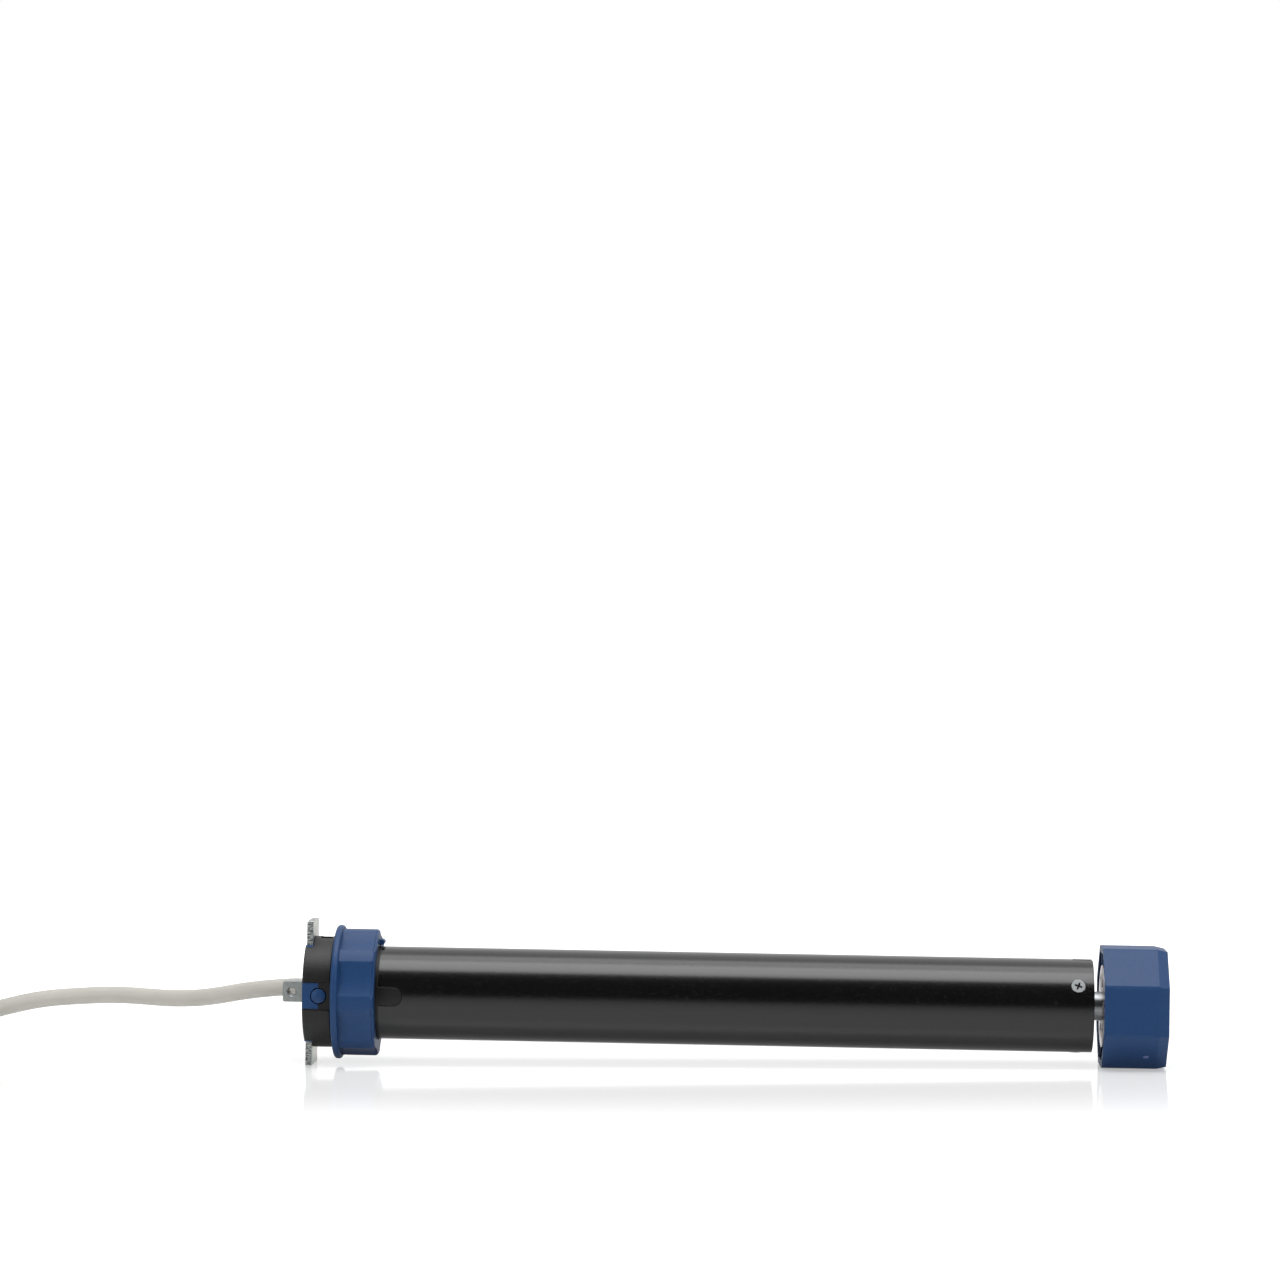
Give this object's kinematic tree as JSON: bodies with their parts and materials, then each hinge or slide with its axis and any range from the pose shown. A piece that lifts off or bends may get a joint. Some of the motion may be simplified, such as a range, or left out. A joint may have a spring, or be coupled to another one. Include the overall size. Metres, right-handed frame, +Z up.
{
  "type": "tubular roller blind motor",
  "caption": "Tubular roller blind motor: tube with head, square pin and bearing plate, idler crown, planetary gearbox, octagonal drive wheel and cable.",
  "frame": {"origin": "centre of the square pin's end face, on the motor's axis", "axes": "+X along the motor's axis from the head to the drive wheel, +Z up, -Y the side with the release button"},
  "size_m": [0.7244, 0.1122, 0.0747],
  "materials": {
    "blue": "moulded blue plastic, satin",
    "black_plastic": "moulded black plastic, fine texture",
    "black_paint": "satin black paint",
    "zinc": "zinc plated, slightly dull",
    "steel": "bare steel",
    "hard_steel": "sintered steel, oiled",
    "alloy": "cast alloy",
    "copper": "enamelled copper wire",
    "cable": "light grey cable sheath",
    "gland": "black rubber",
    "white_plastic": "natural white plastic",
    "board": "green circuit board",
    "friction": "dark friction lining"
  },
  "bodies": {
    "housing": {"tube": "black_paint", "motor_head": "black_plastic", "bearing_plate": "zinc", "square_pin": "zinc", "plate_carrier": "blue", "button_spring": "steel", "cable_gland": "gland", "cable_entry": "cable", "cable_free": "cable", "cable_coil": "cable", "cable_cores": "cable", "lead_wires": "copper", "board_tray": "white_plastic", "circuit_board": "board", "board_components": "black_plastic", "capacitor": "alloy", "rear_shield": "alloy", "stator_core": "steel", "stator_windings": "copper", "front_shield": "alloy", "rotor_bearings": "steel", "brake_housing": "steel", "brake_magnet": "steel", "brake_coil": "copper", "brake_spring": "steel", "gearbox_plate": "steel", "ring_gear": "hard_steel", "output_bearing": "steel", "gearbox_cover": "black_plastic", "tube_screws": "zinc"},
    "release_button": {"release_button": "blue"},
    "crown": {"crown_ring": "blue"},
    "encoder": {"encoder_pinion": "white_plastic", "encoder_wheel": "black_plastic"},
    "rotor": {"rotor_core": "steel", "rotor_shaft": "steel", "brake_disc": "friction"},
    "brake_armature": {"brake_plate": "steel"},
    "stage_1_carrier": {"carrier_1": "hard_steel"},
    "stage_2_carrier": {"carrier_2": "hard_steel"},
    "output": {"output_shaft": "zinc", "wheel_insert": "zinc", "drive_wheel": "blue", "retaining_clip": "steel"},
    "planet_1a": {"planet_1a": "hard_steel"},
    "planet_1b": {"planet_1b": "hard_steel"},
    "planet_1c": {"planet_1c": "hard_steel"},
    "planet_2a": {"planet_2a": "hard_steel"},
    "planet_2b": {"planet_2b": "hard_steel"},
    "planet_2c": {"planet_2c": "hard_steel"},
    "planet_3a": {"planet_3a": "hard_steel"},
    "planet_3b": {"planet_3b": "hard_steel"},
    "planet_3c": {"planet_3c": "hard_steel"}
  },
  "joints": [
    {"name": "output_spin", "type": "hinge", "parent": "housing", "child": "output", "pos_m": [0.4, 0, 0], "axis": [1, 0, 0], "continuous": true},
    {"name": "stage_2_spin", "type": "hinge", "parent": "housing", "child": "stage_2_carrier", "pos_m": [0.342, 0, 0], "axis": [1, 0, 0], "continuous": true},
    {"name": "stage_1_spin", "type": "hinge", "parent": "housing", "child": "stage_1_carrier", "pos_m": [0.325, 0, 0], "axis": [1, 0, 0], "continuous": true},
    {"name": "rotor_spin", "type": "hinge", "parent": "housing", "child": "rotor", "pos_m": [0.26, 0, 0], "axis": [1, 0, 0], "continuous": true},
    {"name": "crown_spin", "type": "hinge", "parent": "housing", "child": "crown", "pos_m": [0.036, 0, 0], "axis": [1, 0, 0], "continuous": true},
    {"name": "encoder_spin", "type": "hinge", "parent": "housing", "child": "encoder", "pos_m": [0.04, 0, -0.0144], "axis": [1, 0, 0], "continuous": true},
    {"name": "button_press", "type": "slide", "parent": "housing", "child": "release_button", "axis": [0, 1, 0], "range_m": [0, 0.0016], "stiffness_N_per_m": 600, "springref_m": -0.002, "deforming": ["button_spring"]},
    {"name": "brake_release", "type": "slide", "parent": "housing", "child": "brake_armature", "axis": [-1, 0, 0], "range_m": [0, 0.0004], "stiffness_N_per_m": 1000, "springref_m": -0.008, "deforming": ["brake_spring"]},
    {"name": "planet_1a_spin", "type": "hinge", "parent": "stage_1_carrier", "child": "planet_1a", "pos_m": [0.3274, 0.01155, 0], "axis": [1, 0, 0], "continuous": true},
    {"name": "planet_1b_spin", "type": "hinge", "parent": "stage_1_carrier", "child": "planet_1b", "pos_m": [0.3274, -0.00577, 0.01], "axis": [1, 0, 0], "continuous": true},
    {"name": "planet_1c_spin", "type": "hinge", "parent": "stage_1_carrier", "child": "planet_1c", "pos_m": [0.3274, -0.00577, -0.01], "axis": [1, 0, 0], "continuous": true},
    {"name": "planet_2a_spin", "type": "hinge", "parent": "stage_2_carrier", "child": "planet_2a", "pos_m": [0.3422, 0.01155, 0], "axis": [1, 0, 0], "continuous": true},
    {"name": "planet_2b_spin", "type": "hinge", "parent": "stage_2_carrier", "child": "planet_2b", "pos_m": [0.3422, -0.00577, 0.01], "axis": [1, 0, 0], "continuous": true},
    {"name": "planet_2c_spin", "type": "hinge", "parent": "stage_2_carrier", "child": "planet_2c", "pos_m": [0.3422, -0.00577, -0.01], "axis": [1, 0, 0], "continuous": true},
    {"name": "planet_3a_spin", "type": "hinge", "parent": "output", "child": "planet_3a", "pos_m": [0.36, 0.01155, 0], "axis": [1, 0, 0], "continuous": true},
    {"name": "planet_3b_spin", "type": "hinge", "parent": "output", "child": "planet_3b", "pos_m": [0.36, -0.00577, 0.01], "axis": [1, 0, 0], "continuous": true},
    {"name": "planet_3c_spin", "type": "hinge", "parent": "output", "child": "planet_3c", "pos_m": [0.36, -0.00577, -0.01], "axis": [1, 0, 0], "continuous": true}
  ],
  "couplings": [
    {"joint": "stage_2_spin", "follows": "output_spin", "ratio": 5.5},
    {"joint": "stage_1_spin", "follows": "output_spin", "ratio": 30.25},
    {"joint": "rotor_spin", "follows": "output_spin", "ratio": 166.38},
    {"joint": "encoder_spin", "follows": "crown_spin", "ratio": 2.5},
    {"joint": "planet_1a_spin", "follows": "output_spin", "ratio": -77.786},
    {"joint": "planet_1b_spin", "follows": "output_spin", "ratio": -77.786},
    {"joint": "planet_1c_spin", "follows": "output_spin", "ratio": -77.786},
    {"joint": "planet_2a_spin", "follows": "output_spin", "ratio": -14.143},
    {"joint": "planet_2b_spin", "follows": "output_spin", "ratio": -14.143},
    {"joint": "planet_2c_spin", "follows": "output_spin", "ratio": -14.143},
    {"joint": "planet_3a_spin", "follows": "output_spin", "ratio": -2.5714},
    {"joint": "planet_3b_spin", "follows": "output_spin", "ratio": -2.5714},
    {"joint": "planet_3c_spin", "follows": "output_spin", "ratio": -2.5714}
  ]
}
